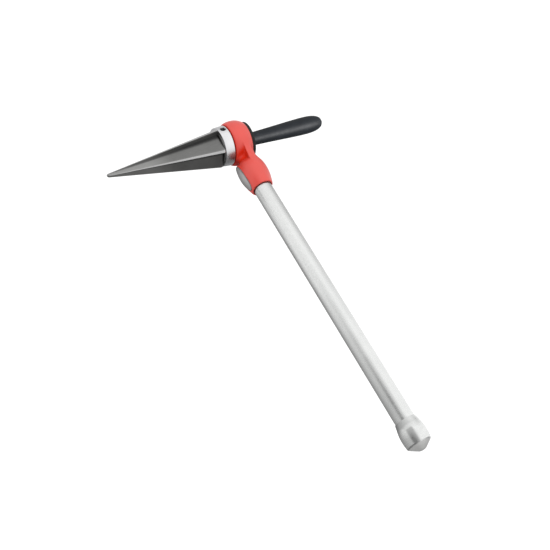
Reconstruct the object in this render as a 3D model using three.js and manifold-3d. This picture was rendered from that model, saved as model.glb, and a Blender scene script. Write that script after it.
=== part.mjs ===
// Ratcheting pipe reamer with a long tubular handle.
// Millimetres, +Z up. Origin of the part: the centre of the small flat on the handle's end cap,
// on the handle's axis.
//   X  parallel to the reamer's axis: the cone's tip points to -X, the push grip to +X
//   Y  the handle's axis: it runs from the end cap towards +Y, to the ratchet head
//   Z  square to both: the tool lies on its side
// The pieces are drawn about the head's own centre, where the reamer's axis crosses the handle's
// axis, and the group that holds them is moved along +Y to put the origin on the end cap.
// On the reamer's axis, front is -X and back is +X. On the handle, top is the end at the head.
// Angles round the reamer's axis are counted from -Y (towards the handle) to +Z.

import * as THREE from 'three';
import { mergeVertices } from 'three/addons/utils/BufferGeometryUtils.js';
import Module from 'manifold-3d';

const wasm = await Module();
wasm.setup();

// ---------------------------------------------------------------- driving dimensions
const FIT = 0.08;            // running fit, radial
const SEAT = 0.05;           // seated fit, radial
const GAP = 0.3;             // axial gap between neighbours
const CUT = 1;               // how far a cutting shape runs past the face it opens

// cutter cone
const FLUTES = 5;
const FLUTE_START = 33.9;    // degrees, first cutting edge
const LAND = 7.2;            // degrees, width of each land
const RAKE_DEPTH = 0.16;     // straight part of the cutting face, over the land radius
const RAKE_LEAN = 86;        // degrees, from the cutting edge's radius to the face's normal
const FLUTE_FILLET = 0.2;    // radius between cutting face and relief, over the land radius
const FILLET_TURN = 68;      // degrees the fillet turns through
const FILLET_STEPS = 5;
const CONE_TIP_X = -199.9, CONE_NOSE_X = -197.1, CONE_TIP_R = 3.0;
const CONE_BIG_X = -31.8, CONE_BIG_R = 29.2;
const CONE_NECK_X = -29.3, CONE_NECK_R = 24.1;
const CONE_BACK_X = -18.8;
const STUD_R = 8.0, STUD_X = -62.0;

// drive collar
const COLLAR_FRONT_X = -28.7, COLLAR_FRONT_R = 28.5;
const COLLAR_BACK_X = -14.9, COLLAR_BACK_R = 29.7;
const COLLAR_BORE_R = 24.4, COLLAR_FLOOR_X = -18.5;
const HUB_R = 15.0, HUB_BACK_X = -8.9;
const SET_SCREW_X = -20.9, SET_SCREW_R = 4.4;
const SET_SCREW_ANGLES = [107.5, 251.5];

// spindle, key and ratchet wheel
const SHAFT_R = 11.0, SHAFT_BACK_X = 10.3, SHAFT_LIP_R = SHAFT_R - 0.5;
const GROOVE_FRONT_X = 8.6, GROOVE_BACK_X = 9.9, GROOVE_R = 10.0;
const KEY_W = 5.0, KEY_LOW = 8.5, KEY_TOP = 13.3, KEY_FRONT_X = -13.3, KEY_BACK_X = 8.1;
const KEYWAY_LOW = 9;        // bottom of the keyways cut in the collar and the wheel
const WHEEL_TEETH = 24, WHEEL_TIP_R = 19.5, WHEEL_ROOT_R = 16.8, WHEEL_HALF = 8.3;
const TOOTH_PITCH = 360 / WHEEL_TEETH;
const TOOTH_START = -2.4;    // degrees, root of the first tooth's driving face

// ratchet head
const RING_FRONT_X = -13.7, RING_BACK_X = 15.0;
const CAVITY_R = 20.6, CAVITY_FRONT_X = -8.8;
const FRONT_BUSH_R = 17.5;
const WEB_FRONT_X = -2.2, WEB_BACK_X = 11.2;

// rear cover
const COVER_FRONT_X = 15.3, COVER_BACK_X = 20.1, COVER_R = 27.75;
const SPIGOT_R = 20.5, SPIGOT_X = 10.4;
const JOURNAL_R = 9.5, REAR_BUSH_R = 12.0;
const COVER_SCREW_ANGLES = [60, 180, 300];
const COVER_SCREW_CIRCLE_R = 24.0;
const BUSH_INSET = 0.1;      // how far both bushes stop short of the faces round them

// pawl, running in a square guide along the handle's axis
const PAWL_HALF = 5.0, PAWL_FRONT_Y = -20.9, PAWL_BACK_Y = -38.0;
const PAWL_CLEARANCE = 0.06;
const SPRING_R = 3.3, SPRING_WIRE_R = 0.6, SPRING_TURNS = 5;
const PLUG_TOP_Y = -52.0, PLUG_BOTTOM_Y = -57.0, PLUG_R = 8.0;

// handle
const TUBE_R = 13.45, TUBE_WALL = 2.65, TUBE_TOP_Y = -57.9, TUBE_BOTTOM_Y = -495.0;
const SOCKET_R = 13.6, SOCKET_TOP_Y = -57.6, BARREL_END_Y = -89.6;
const CAP_TOP_Y = -478.0, CAP_FLAT_Y = -519.4, CAP_FLAT_R = 3.6;
const MOUTH_R = 14.5, MOUTH_DEPTH = 3.0;

// push grip
const GRIP_FRONT_X = 22.9, GRIP_END_X = 146.6, GRIP_TIP_X = 149.7;
const GRIP_STEP_X = 117.6, GRIP_POCKET_R = 7.3;
const PIN_R = 6.0, PIN_END_X = 117.9, SLEEVE_R = 8.0;
const WASHER_FRONT_X = PIN_END_X + 0.2, WASHER_BACK_X = PIN_END_X + 1.8;

// blank plate on the barrel
const PLATE_Y = -65.0, PLATE_HALF_LENGTH = 22.0, PLATE_HALF_WIDTH = 9.4, PLATE_T = 0.8;
const PLATE_LIFT = 0.06;     // gap between the plate and its pad
const PAD_MARGIN = 1.2;      // pad showing round the plate

// ---------------------------------------------------------------- helpers
// a closed three.js geometry as a solid: shared corners merged, collapsed faces dropped,
// faces turned outwards
function solid(geometry) {
  const bare = new THREE.BufferGeometry();
  bare.setAttribute('position', geometry.getAttribute('position'));
  bare.setIndex(geometry.index);
  const merged = mergeVertices(bare, 1e-4);
  const index = merged.index.array;
  const positions = merged.getAttribute('position');
  const corner = (k) => new THREE.Vector3().fromBufferAttribute(positions, k);
  const triangles = [];
  let volume = 0;
  for (let i = 0; i < index.length; i += 3) {
    const [a, b, c] = index.slice(i, i + 3);
    if (a === b || b === c || a === c) continue;
    triangles.push(a, b, c);
    volume += corner(a).dot(corner(b).cross(corner(c)));
  }
  // reading the whole list backwards turns every face over
  if (volume < 0) triangles.reverse();
  return new wasm.Manifold(new wasm.Mesh({
    numProp: 3,
    vertProperties: new Float32Array(positions.array),
    triVerts: new Uint32Array(triangles),
  }));
}

// Bodies of revolution. A profile is a list of [place along the axis, radius].
const lathe = (profile, segments) =>
  new THREE.LatheGeometry(profile.map(([along, r]) => new THREE.Vector2(r, along)), segments);
const latheX = (profile, segments) => lathe(profile, segments).rotateZ(-Math.PI / 2);
// a profile with both ends carried to the axis, and a ring's section closed on itself
const toAxis = (profile) => [[profile[0][0], 0], ...profile, [profile.at(-1)[0], 0]];
const closed = (section) => [...section, section[0]];

const turnX = (profile, segments = 36) => solid(latheX(toAxis(profile), segments));
const turnY = (profile, segments = 36) => solid(lathe(toAxis(profile), segments));
const hollowX = (section) => solid(latheX(closed(section), 36));
const hollowY = (section) => solid(lathe(closed(section), 36));
const rodX = (x0, x1, r, segments) => turnX([[x0, r], [x1, r]], segments);
const rodY = (y0, y1, r, segments) => turnY([[y0, r], [y1, r]], segments);
const ringX = (x0, x1, inner, outer) =>
  hollowX([[x0, inner], [x0, outer], [x1, outer], [x1, inner]]);

// the point at an angle round the reamer's axis, in (y, z)
function around(degrees, r) {
  const angle = THREE.MathUtils.degToRad(degrees);
  return [-r * Math.cos(angle), r * Math.sin(angle)];
}
// a rod standing radially at an angle round the reamer's axis, from radius r0 to r1
const radialRod = (x, degrees, r0, r1, r, segments = 16) =>
  rodY(-r1, -r0, r, segments).rotate([-degrees, 0, 0]).translate([x, 0, 0]);
const hexRadius = (acrossFlats) => acrossFlats / Math.sqrt(3);

const box = (x0, x1, y0, y1, z0, z1) => solid(
  new THREE.BoxGeometry(x1 - x0, y1 - y0, z1 - z0)
    .translate((x0 + x1) / 2, (y0 + y1) / 2, (z0 + z1) / 2));
// a slot as wide as the key with its fit
function keyway(x0, x1, y0, y1) {
  const half = KEY_W / 2 + SEAT;
  return box(x0, x1, y0, y1, -half, half);
}

// an outline in (y, z) run along X through [x, size] stations; place(y, z, size) fits it to each
function loftX(outline, stations, place) {
  const steps = stations.length - 1;
  const shape = new THREE.Shape(outline.map(([y, z]) => new THREE.Vector2(y, z)));
  const geometry = new THREE.ExtrudeGeometry(shape, { depth: steps, steps, bevelEnabled: false });
  const positions = geometry.getAttribute('position');
  for (let i = 0; i < positions.count; i++) {
    const [x, size] = stations[Math.round(positions.getZ(i))];
    const [y, z] = place(positions.getX(i), positions.getY(i), size);
    positions.setXYZ(i, x, y, z);
  }
  return solid(geometry);
}
const prismX = (outline, x0, x1) => loftX(outline, [[x0], [x1]], (y, z) => [y, z]);

// ---------------------------------------------------------------- materials
const FINISHES = {
  cutter: { color: 0x7c7d7e, roughness: 0.38, metalness: 0.9 },
  collar: { color: 0xd9dadc, roughness: 0.3, metalness: 0.9 },
  screw: { color: 0x17171a, roughness: 0.55, metalness: 0.6 },
  red: { color: 0xdd4a40, roughness: 0.45, metalness: 0.0 },
  blackCover: { color: 0x20211f, roughness: 0.5, metalness: 0.2 },
  grip: { color: 0x33383e, roughness: 0.55, metalness: 0.0 },
  tube: { color: 0xd4d6d6, roughness: 0.35, metalness: 0.85 },
  plate: { color: 0x9c9c9a, roughness: 0.45, metalness: 0.7 },
  steel: { color: 0x8d9094, roughness: 0.35, metalness: 0.9 },
  bronze: { color: 0xa97b3f, roughness: 0.4, metalness: 0.9 },
  spring: { color: 0x6f7276, roughness: 0.35, metalness: 0.9 },
};

// a finished solid as a named mesh
function piece(name, finish, made) {
  const { vertProperties, triVerts } = made.getMesh();
  const geometry = new THREE.BufferGeometry();
  geometry.setAttribute('position', new THREE.Float32BufferAttribute(vertProperties, 3));
  geometry.setIndex(new THREE.Uint32BufferAttribute(triVerts, 1));
  geometry.computeVertexNormals();
  const mesh = new THREE.Mesh(geometry, new THREE.MeshStandardMaterial(FINISHES[finish]));
  mesh.name = name;
  return mesh;
}

// ---------------------------------------------------------------- cutter cone
// Fluted section at land radius 1: a land, then a flat relief that sinks away behind it, a fillet
// and the steep cutting face that rises to the next cutting edge.
function flutedSection() {
  const points = [];
  const pitch = 360 / FLUTES;
  for (let k = 0; k < FLUTES; k++) {
    const edge = FLUTE_START + k * pitch;
    points.push(around(edge, 1), around(edge + LAND, 1));
    // the cutting face stands below the next edge; its normal leans back from the edge's radius
    const nextEdge = edge + pitch;
    const normal = nextEdge - RAKE_LEAN;
    const [topY, topZ] = around(nextEdge, 1);
    const [downY, downZ] = around(normal - 90, RAKE_DEPTH);
    const [offsetY, offsetZ] = around(normal, FLUTE_FILLET);
    const centreY = topY + downY + offsetY;
    const centreZ = topZ + downZ + offsetZ;
    for (let i = FILLET_STEPS; i >= 0; i--) {
      const [y, z] = around(normal + (FILLET_TURN * i) / FILLET_STEPS, FLUTE_FILLET);
      points.push([centreY - y, centreZ - z]);
    }
  }
  return points;
}

function reamerCone() {
  const taper = (CONE_BIG_R - CONE_TIP_R) / (CONE_BIG_X - CONE_NOSE_X);
  const onTaper = (distance) => [CONE_NOSE_X + distance, CONE_TIP_R + distance * taper];
  // [x, land radius]
  const stations = [
    [CONE_TIP_X, 0.6], [CONE_TIP_X + 0.5, 1.5], [CONE_TIP_X + 1.4, 2.4],
    [CONE_NOSE_X, CONE_TIP_R], onTaper(60), onTaper(115), [CONE_BIG_X, CONE_BIG_R],
    [CONE_BIG_X + 1.5, CONE_BIG_R - 0.5], [CONE_NECK_X, CONE_BIG_R - 1.7],
  ];
  const neckOverlap = 0.3;
  let cone = loftX(flutedSection(), stations, (y, z, r) => [y * r, z * r])
    .add(rodX(CONE_NECK_X - neckOverlap, CONE_BACK_X, CONE_NECK_R))
    .subtract(rodX(STUD_X - GAP, CONE_BACK_X + CUT, STUD_R + SEAT));
  // pockets for the set screws' points
  for (const angle of SET_SCREW_ANGLES) {
    cone = cone.subtract(radialRod(SET_SCREW_X, angle, 22.6, 30, 2.6));
  }
  return piece('reamer_cone', 'cutter', cone);
}

// ---------------------------------------------------------------- drive collar and set screws
function driveCollar() {
  let collar = hollowX([
    [COLLAR_FRONT_X + 0.5, COLLAR_BORE_R], [COLLAR_FRONT_X, COLLAR_BORE_R + 0.6],
    [COLLAR_FRONT_X, COLLAR_FRONT_R - 0.7], [COLLAR_FRONT_X + 0.7, COLLAR_FRONT_R + 0.05],
    [COLLAR_BACK_X - 0.5, COLLAR_BACK_R - 0.05], [COLLAR_BACK_X, COLLAR_BACK_R - 0.5],
    [COLLAR_BACK_X, HUB_R + 1.2], [COLLAR_BACK_X, HUB_R], [HUB_BACK_X, HUB_R],
    [HUB_BACK_X, SHAFT_R + SEAT], [COLLAR_FLOOR_X, SHAFT_R + SEAT],
    [COLLAR_FLOOR_X, COLLAR_BORE_R],
  ]);
  collar = collar.subtract(
    keyway(KEY_FRONT_X - 0.5, HUB_BACK_X + CUT, KEYWAY_LOW, KEY_TOP + SEAT));
  for (const angle of SET_SCREW_ANGLES) {
    collar = collar.subtract(radialRod(SET_SCREW_X, angle, 24, 31, SET_SCREW_R, 24));
  }
  return piece('drive_collar', 'collar', collar);
}

function setScrew(angle, i) {
  const head = radialRod(SET_SCREW_X, angle, 24.8, 26.6, SET_SCREW_R - 0.1, 24);
  const point = radialRod(SET_SCREW_X, angle, 23.0, 24.9, 2.3);
  const socket = radialRod(SET_SCREW_X, angle, 25.1, 28, hexRadius(5), 6);
  return piece(`collar_set_screw_${i + 1}`, 'screw', head.add(point).subtract(socket));
}

// ---------------------------------------------------------------- spindle, key, wheel, ring
function spindle() {
  const journalBackX = COVER_BACK_X + 0.2;
  const keyEndGap = 0.2;
  const body = turnX([
    [STUD_X, STUD_R - 1], [STUD_X + 1, STUD_R], [CONE_BACK_X - 0.3, STUD_R],
    [COLLAR_FLOOR_X + GAP, STUD_R], [COLLAR_FLOOR_X + GAP, SHAFT_R],
    [GROOVE_FRONT_X, SHAFT_R], [GROOVE_FRONT_X, GROOVE_R],
    [GROOVE_BACK_X, GROOVE_R], [GROOVE_BACK_X, SHAFT_LIP_R],
    [SHAFT_BACK_X, SHAFT_LIP_R], [SHAFT_BACK_X, JOURNAL_R],
    [journalBackX, JOURNAL_R], [journalBackX, PIN_R],
    [PIN_END_X - 0.6, PIN_R], [PIN_END_X, PIN_R - 0.6],
  ]);
  const keySlot = keyway(KEY_FRONT_X - keyEndGap, KEY_BACK_X + keyEndGap, KEY_LOW - SEAT, 14);
  const screwHole = rodX(97, PIN_END_X + CUT, 3.05, 18);
  return piece('spindle', 'steel', body.subtract(keySlot).subtract(screwHole));
}

const driveKey = () => piece('drive_key', 'steel',
  box(KEY_FRONT_X, KEY_BACK_X, KEY_LOW, KEY_TOP, -KEY_W / 2, KEY_W / 2));

// saw-tooth wheel: each tooth has a nearly radial driving face and a long sloping back
function ratchetWheel() {
  const outline = [];
  for (let k = 0; k < WHEEL_TEETH; k++) {
    const start = TOOTH_START + k * TOOTH_PITCH;
    outline.push(
      around(start, WHEEL_ROOT_R),
      around(start + 0.6, WHEEL_TIP_R - 0.4),
      around(start + 1.6, WHEEL_TIP_R),
      around(start + 3.2, WHEEL_TIP_R),
      around(start + TOOTH_PITCH - 3.0, WHEEL_ROOT_R + 0.05),
    );
  }
  const past = 20;   // x where the through cuts end, well outside the wheel
  const wheel = prismX(outline, -WHEEL_HALF, WHEEL_HALF)
    .subtract(rodX(-past, past, SHAFT_R + SEAT))
    .subtract(keyway(-past, past, KEYWAY_LOW, KEY_TOP + SEAT));
  return piece('ratchet_wheel', 'steel', wheel);
}

// spring ring in the spindle's groove behind the wheel, open towards -Y
function retainingRing() {
  const endGap = 0.15, halfOpening = 2.2;
  const ring = ringX(GROOVE_FRONT_X + endGap, GROOVE_BACK_X - endGap, GROOVE_R + 0.1, 13.2)
    .subtract(box(8, 11, -15, 0, -halfOpening, halfOpening));
  return piece('wheel_retaining_ring', 'spring', ring);
}

// ---------------------------------------------------------------- ratchet housing
// ring round the wheel: [x, radius]
const RING_PROFILE = [
  [RING_FRONT_X, 29.4], [RING_FRONT_X + 0.7, 30.3], [-11, 31.5], [-6.5, 32.8], [-1.5, 33.35],
  [4, 33.0], [8.5, 31.9], [12, 30.4], [RING_BACK_X, 28.5],
];
// lower barrel, shared by the barrel and the nameplate's pad: [y, radius]
const LOWER_BARREL = [
  [BARREL_END_Y, 15.5], [-88.4, 16.4], [-84, 17.9], [-78, 19.4], [-70, 20.9], [-61, 21.5],
];
const BARREL_PROFILE = [
  [BARREL_END_Y, MOUTH_R], ...LOWER_BARREL,
  [-52.5, 20.5], [-49, 19.6], [-46, 18.3], [-43.5, 16.6], [-41.2, 14.6],
  [-39, 12.9], [-36.5, 11.8], [-33, 11.0], [-22, 10.6],
];
// pad that carries the nameplate past the barrel's shoulder: [y, radius]
const PAD_PROFILE = [
  [BARREL_END_Y, MOUTH_R], ...LOWER_BARREL,
  [-55, 21.2], [-51, 20.85], [-47, 20.4], [-44, 19.9], [-40, 18.9],
];
// behind the web's front face the barrel keeps its full shoulder up to the ring: [y, radius]
const SHOULDER_PROFILE = [
  [-60, 21.0], [-52.5, 20.5], [-46, 19.4], [-42, 18.5], [-38, 17.4], [-33.5, 16.0], [-22, 14.8],
];
// tapering web from the ring's rear part down into the barrel: [y, half width in z]
const WEB_EDGE = [
  [0, 30], [-12, 28.8], [-20, 25.6], [-27, 22.8], [-34, 20.6], [-42, 19.2], [-50, 18.6],
  [-53, 16],
];
// the web's sides are taken in towards its back: [x, inset in z]
const WEB_STATIONS = [[WEB_FRONT_X, 0], [5, 0.4], [8.5, 2.2], [WEB_BACK_X, 5.5]];

// the nameplate's outline, grown by a margin, as a prism through the barrel's front half
function platePrism(margin) {
  const count = 40;
  const outline = Array.from({ length: count }, (_, i) => {
    const angle = (2 * Math.PI * i) / count;
    return [
      PLATE_Y + (PLATE_HALF_LENGTH + margin) * Math.cos(angle),
      (PLATE_HALF_WIDTH + margin) * Math.sin(angle),
    ];
  });
  return prismX(outline, -26, -6);
}
// the pad's body of revolution, grown by a thickness
const padBody = (thickness) => turnY(PAD_PROFILE.map(([y, r]) => [y, r + thickness]));

function housingBody() {
  const webOutline = [...WEB_EDGE, ...WEB_EDGE.toReversed().map(([y, z]) => [y, -z])];
  const web = loftX(webOutline, WEB_STATIONS,
    (y, z, inset) => [y, Math.sign(z) * (Math.abs(z) - inset)]);
  const shoulder = turnY(SHOULDER_PROFILE).intersect(box(WEB_FRONT_X, 30, -61, -20, -30, 30));
  return turnX(RING_PROFILE, 48)
    .add(turnY(BARREL_PROFILE))
    .add(web)
    .add(shoulder)
    .add(platePrism(PAD_MARGIN).intersect(padBody(0)));
}

function ratchetHousing() {
  const half = PAWL_HALF + PAWL_CLEARANCE;
  const mouthTopY = BARREL_END_Y + MOUTH_DEPTH;
  const cuts = [
    // front bush seat
    rodX(RING_FRONT_X - CUT, RING_BACK_X + CUT, FRONT_BUSH_R + SEAT),
    // wheel cavity
    rodX(CAVITY_FRONT_X, RING_BACK_X + CUT, CAVITY_R),
    // pawl guide
    box(-half, half, PLUG_TOP_Y - CUT, -15, -half, half),
    // spring plug bore
    rodY(SOCKET_TOP_Y - CUT, PLUG_TOP_Y + GAP, PLUG_R + SEAT),
    // tube socket and its wider mouth
    turnY([
      [BARREL_END_Y - CUT, MOUTH_R], [mouthTopY, MOUTH_R],
      [mouthTopY, SOCKET_R], [SOCKET_TOP_Y, SOCKET_R],
    ]),
    // cover screw holes
    ...COVER_SCREW_ANGLES.map((angle) =>
      atCoverScrew(angle, rodX(4, RING_BACK_X + CUT, 2.08, 16))),
  ];
  const housing = cuts.reduce((body, cut) => body.subtract(cut), housingBody());
  return piece('ratchet_housing', 'red', housing);
}

const frontBush = () => piece('front_bush', 'bronze', ringX(
  RING_FRONT_X + BUSH_INSET, CAVITY_FRONT_X - BUSH_INSET, HUB_R + FIT, FRONT_BUSH_R));

const nameplate = () => piece('nameplate', 'plate', platePrism(0)
  .intersect(padBody(PLATE_T + PLATE_LIFT))
  .subtract(padBody(PLATE_LIFT)));

// ---------------------------------------------------------------- rear cover, bush and screws
// a solid on the reamer's axis moved out to a cover screw's place
const atCoverScrew = (angle, made) =>
  made.translate([0, ...around(angle, COVER_SCREW_CIRCLE_R)]);

function rearCover() {
  let cover = hollowX([
    [SPIGOT_X, REAR_BUSH_R + SEAT], [COVER_BACK_X, REAR_BUSH_R + SEAT],
    [COVER_BACK_X, COVER_R - 0.8], [COVER_BACK_X - 0.8, COVER_R],
    [COVER_FRONT_X + 0.4, COVER_R], [COVER_FRONT_X, COVER_R - 0.4],
    [COVER_FRONT_X, SPIGOT_R], [SPIGOT_X, SPIGOT_R],
  ]);
  const holeR = 2.15, sinkR = 3.35;
  const hole = turnX([
    [COVER_FRONT_X - CUT, holeR], [COVER_BACK_X - 2.0, holeR],
    [COVER_BACK_X - 0.1, sinkR], [COVER_BACK_X + CUT, sinkR],
  ], 16);
  for (const angle of COVER_SCREW_ANGLES) cover = cover.subtract(atCoverScrew(angle, hole));
  return piece('rear_cover', 'blackCover', cover);
}

function coverScrew(angle, i) {
  const shankR = 2.0, headR = 3.1, topX = COVER_BACK_X - 0.15;
  const screw = turnX([
    [6, 1.6], [6.4, shankR], [COVER_BACK_X - 2.1, shankR],
    [COVER_BACK_X - 0.4, headR], [topX, headR],
  ], 16);
  const socket = rodX(topX - 1.5, topX + 0.3, 1.45, 6);
  return piece(`rear_cover_screw_${i + 1}`, 'screw',
    atCoverScrew(angle, screw.subtract(socket)));
}

const rearBush = () => piece('rear_bush', 'bronze', ringX(
  SPIGOT_X + BUSH_INSET, COVER_BACK_X - BUSH_INSET, JOURNAL_R + FIT, REAR_BUSH_R));

// ---------------------------------------------------------------- pawl, spring, spring plug
// square plunger with a nose that sits in one tooth space: its +Z flank is upright, its -Z flank
// slopes
function pawl() {
  const noseEndR = WHEEL_ROOT_R + 0.35;
  const uprightTip = around(TOOTH_START - 0.6, noseEndR);
  const uprightFoot = around(TOOTH_START - 0.2, WHEEL_TIP_R + 0.3);
  const slopeFoot = around(TOOTH_START - 11.6, WHEEL_TIP_R + 0.45);
  const slopeTip = around(TOOTH_START - 2.4, noseEndR);
  const outline = [
    uprightTip, uprightFoot, [PAWL_FRONT_Y, uprightFoot[1]],
    [PAWL_FRONT_Y, PAWL_HALF], [PAWL_BACK_Y, PAWL_HALF],
    [PAWL_BACK_Y, -PAWL_HALF], [PAWL_FRONT_Y, -PAWL_HALF],
    slopeFoot, slopeTip,
  ];
  const springStem = rodY(PAWL_BACK_Y - 4, PAWL_BACK_Y + 1, 2.4, 18);
  return piece('pawl', 'steel', prismX(outline, -PAWL_HALF, PAWL_HALF).add(springStem));
}

// helix about the handle's axis, from the pawl's back to the plug's top
class Coil extends THREE.Curve {
  getPoint(t, target = new THREE.Vector3()) {
    const endGap = SPRING_WIRE_R + 0.3;
    const startY = PAWL_BACK_Y - endGap;
    const endY = PLUG_TOP_Y + endGap;
    const angle = 2 * Math.PI * SPRING_TURNS * t;
    return target.set(
      SPRING_R * Math.cos(angle), startY + (endY - startY) * t, SPRING_R * Math.sin(angle));
  }
}

// open-coil compression spring
function pawlSpring() {
  const wire = new THREE.Shape(Array.from({ length: 6 }, (_, i) => new THREE.Vector2(
    SPRING_WIRE_R * Math.cos((Math.PI * i) / 3), SPRING_WIRE_R * Math.sin((Math.PI * i) / 3))));
  const coil = new THREE.ExtrudeGeometry(wire, {
    steps: SPRING_TURNS * 12, bevelEnabled: false, extrudePath: new Coil(),
  });
  return piece('pawl_spring', 'spring', solid(coil));
}

function springPlug() {
  const socket = rodY(PLUG_BOTTOM_Y - 0.1, PLUG_BOTTOM_Y + 2.9, 3.5, 6);
  return piece('spring_plug', 'steel', rodY(PLUG_BOTTOM_Y, PLUG_TOP_Y, PLUG_R).subtract(socket));
}

// ---------------------------------------------------------------- handle tube and end cap
function handleTube() {
  const inner = TUBE_R - TUBE_WALL, chamfer = 0.6;
  return piece('handle_tube', 'tube', hollowY([
    [TUBE_BOTTOM_Y, inner], [TUBE_BOTTOM_Y, TUBE_R - chamfer], [TUBE_BOTTOM_Y + chamfer, TUBE_R],
    [TUBE_TOP_Y - chamfer, TUBE_R], [TUBE_TOP_Y, TUBE_R - chamfer], [TUBE_TOP_Y, inner],
  ]));
}

function handleEndCap() {
  const body = turnY([
    [CAP_FLAT_Y, CAP_FLAT_R], [-511.8, 15.6], [-510.6, 16.5], [-507, 17.1], [-500, 17.6],
    [-493, 17.4], [-487, 16.4], [CAP_TOP_Y, 14.4],
  ]);
  const bore = rodY(TUBE_BOTTOM_Y - 0.4, CAP_TOP_Y + CUT, TUBE_R + SEAT);
  return piece('handle_end_cap', 'tube', body.subtract(bore));
}

// ---------------------------------------------------------------- push grip
function feedGrip() {
  const grip = turnX([
    [GRIP_FRONT_X, 9.7], [33, 10.0], [73, 11.6], [95, 12.5], [110, 13.0], [123, 13.1],
    [131, 12.6], [137, 11.6], [142, 10.0], [GRIP_END_X, 7.45],
  ])
    .subtract(rodX(GRIP_FRONT_X - CUT, GRIP_STEP_X, SLEEVE_R + SEAT))
    .subtract(rodX(GRIP_STEP_X - CUT, GRIP_END_X + CUT, GRIP_POCKET_R));
  return piece('feed_grip', 'grip', grip);
}

const gripSleeve = () => piece('grip_sleeve', 'bronze',
  ringX(GRIP_FRONT_X + 0.1, GRIP_STEP_X - GAP, PIN_R + FIT, SLEEVE_R));

const thrustWasher = () => piece('thrust_washer', 'steel',
  ringX(COVER_BACK_X + 0.6, GRIP_FRONT_X - 0.2, PIN_R + FIT, 9.1));

function gripEndPlug() {
  const plugR = GRIP_POCKET_R - SEAT;
  return piece('grip_end_plug', 'grip', turnX([
    [139, 7.0], [140, plugR], [GRIP_END_X, plugR], [148.3, 5.4], [149.4, 2.7], [GRIP_TIP_X, 0],
  ]));
}

// washer and socket screw that keep the grip on the spindle: they turn with the spindle
const gripWasher = () => piece('grip_washer', 'steel',
  ringX(WASHER_FRONT_X, WASHER_BACK_X, 3.2, 7.0));

function gripScrew() {
  const headX = WASHER_BACK_X + 0.2;
  const shankR = 2.95, headR = 5.0;
  const screw = turnX([
    [99, 2.4], [99.6, shankR], [headX, shankR], [headX, headR],
    [headX + 5.5, headR], [headX + 6, headR - 0.5],
  ], 18);
  return piece('grip_screw', 'screw', screw.subtract(rodX(headX + 3, headX + 7, 2.89, 6)));
}

// ---------------------------------------------------------------- assembly
function group(...children) {
  const made = new THREE.Group();
  made.add(...children);
  return made;
}

// housing, cover and handle
const head = group(
  ratchetHousing(), frontBush(), nameplate(),
  rearCover(), ...COVER_SCREW_ANGLES.map(coverScrew), rearBush(),
  pawlSpring(), springPlug(), handleTube(), handleEndCap(),
);
// everything the ratchet turns
const rotor = group(
  reamerCone(), driveCollar(), ...SET_SCREW_ANGLES.map(setScrew),
  spindle(), driveKey(), ratchetWheel(), retainingRing(), gripWasher(), gripScrew(),
);
const plunger = group(pawl());
// free-turning grip
const pushGrip = group(feedGrip(), gripSleeve(), thrustWasher(), gripEndPlug());

// moved so that the part's origin is the centre of the end cap's flat
const tool = group(head, rotor, plunger, pushGrip);
tool.position.set(0, -CAP_FLAT_Y, 0);

export default group(tool);
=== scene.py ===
# A ratchet reamer: a fluted cone on a round cast head, a push grip opposite and a long handle.
#
# Shapes are drawn in millimetres about the head's centre, where the reamer's axis (X) crosses the
# handle's axis (Y). The cone points to -X, called the front; the grip is at +X and the handle runs
# to -Y. They are then put in the row frame: metres, +Z up, origin on the handle's end cap.
import math

import bmesh
import bpy
import numpy as np
from mathutils import Matrix, Vector


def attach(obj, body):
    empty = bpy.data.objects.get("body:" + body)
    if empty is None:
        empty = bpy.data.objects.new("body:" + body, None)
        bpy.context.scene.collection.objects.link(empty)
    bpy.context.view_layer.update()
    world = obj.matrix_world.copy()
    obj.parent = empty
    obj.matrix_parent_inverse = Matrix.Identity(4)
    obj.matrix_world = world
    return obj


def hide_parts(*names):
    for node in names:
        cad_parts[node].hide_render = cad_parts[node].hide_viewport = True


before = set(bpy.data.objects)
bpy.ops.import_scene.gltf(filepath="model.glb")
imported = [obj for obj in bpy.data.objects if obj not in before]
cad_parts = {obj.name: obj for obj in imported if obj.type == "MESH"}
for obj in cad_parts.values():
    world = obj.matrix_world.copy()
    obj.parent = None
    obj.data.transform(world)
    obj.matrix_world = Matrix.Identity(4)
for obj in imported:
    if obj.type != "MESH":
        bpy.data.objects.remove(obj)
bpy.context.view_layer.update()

MM = 0.001
HEAD_Y = 519.4      # from the end cap's face to the head's centre
TAU = 2 * math.pi
SCENE = bpy.context.scene


# ------------------------------------------------------------------ sections
def fillet(points, steps=5):
    """A section of (along, radius[, rounding]) corners, with those given a rounding rounded."""
    out = []
    for i, point in enumerate(points):
        rounding = point[2] if len(point) > 2 else 0
        here = np.array(point[:2], float)
        if not rounding or i in (0, len(points) - 1):
            out.append(tuple(here))
            continue
        back = np.array(points[i - 1][:2], float) - here
        ahead = np.array(points[i + 1][:2], float) - here
        back_len, ahead_len = np.linalg.norm(back), np.linalg.norm(ahead)
        back, ahead = back / back_len, ahead / ahead_len
        half = math.acos(max(-1, min(1, float(back @ ahead)))) / 2
        if half > math.pi / 2 - 0.02:       # nearly straight
            out.append(tuple(here))
            continue
        cut = min(rounding / math.tan(half), back_len * 0.49, ahead_len * 0.49)
        radius = cut * math.tan(half)
        middle = (back + ahead) / np.linalg.norm(back + ahead)
        centre = here + middle * (radius / math.sin(half))
        start, end = here + back * cut, here + ahead * cut
        angle0 = math.atan2(*(start - centre)[::-1])
        angle1 = math.atan2(*(end - centre)[::-1])
        sweep = (angle1 - angle0 + math.pi) % TAU - math.pi
        for k in range(steps + 1):
            t = angle0 + sweep * k / steps
            out.append((centre[0] + radius * math.cos(t), centre[1] + radius * math.sin(t)))
    return out


def closed(points, steps=5):
    """A closed section with rounded corners; its first corner stays square."""
    return fillet(points + [points[0][:2]], steps)[:-1]


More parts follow.
